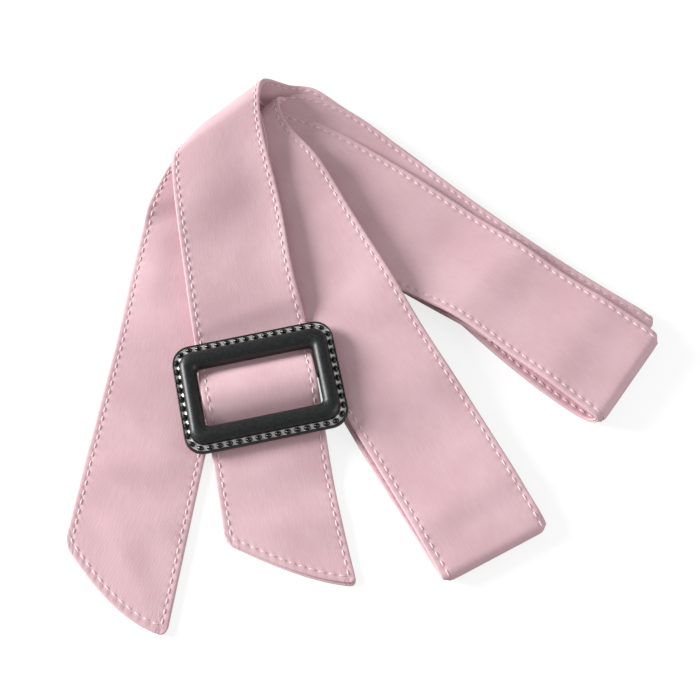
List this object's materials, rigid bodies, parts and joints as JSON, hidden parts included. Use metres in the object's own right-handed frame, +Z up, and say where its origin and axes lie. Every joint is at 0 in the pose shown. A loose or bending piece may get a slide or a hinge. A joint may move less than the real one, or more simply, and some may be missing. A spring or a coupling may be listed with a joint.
{
  "type": "trench coat belt",
  "caption": "Flat cloth coat belt with slanted ends, folded to and fro and laid on a surface, with a rounded rectangular slider buckle on one tail.",
  "frame": {"origin": "middle of the bounding box in plan, on the surface the folded belt lies on", "axes": "+Z up out of the surface, +Y along the tails towards the top folds, +X towards the folded arm on the right"},
  "size_m": [0.2559, 0.2711, 0.0259],
  "materials": {
    "cloth": "soft satin, dusty pink",
    "buckle": "leather-grained, semi-matt",
    "bar": "bright"
  },
  "bodies": {
    "root": {"front_tail": "cloth", "arm_bottom": "cloth", "arm_top": "cloth", "loop_under": "cloth", "loop_top": "cloth", "arm_second": "cloth", "arm_third": "cloth", "left_tail": "cloth", "buckle_frame": "buckle", "buckle_bar": "bar"}
  },
  "joints": []
}
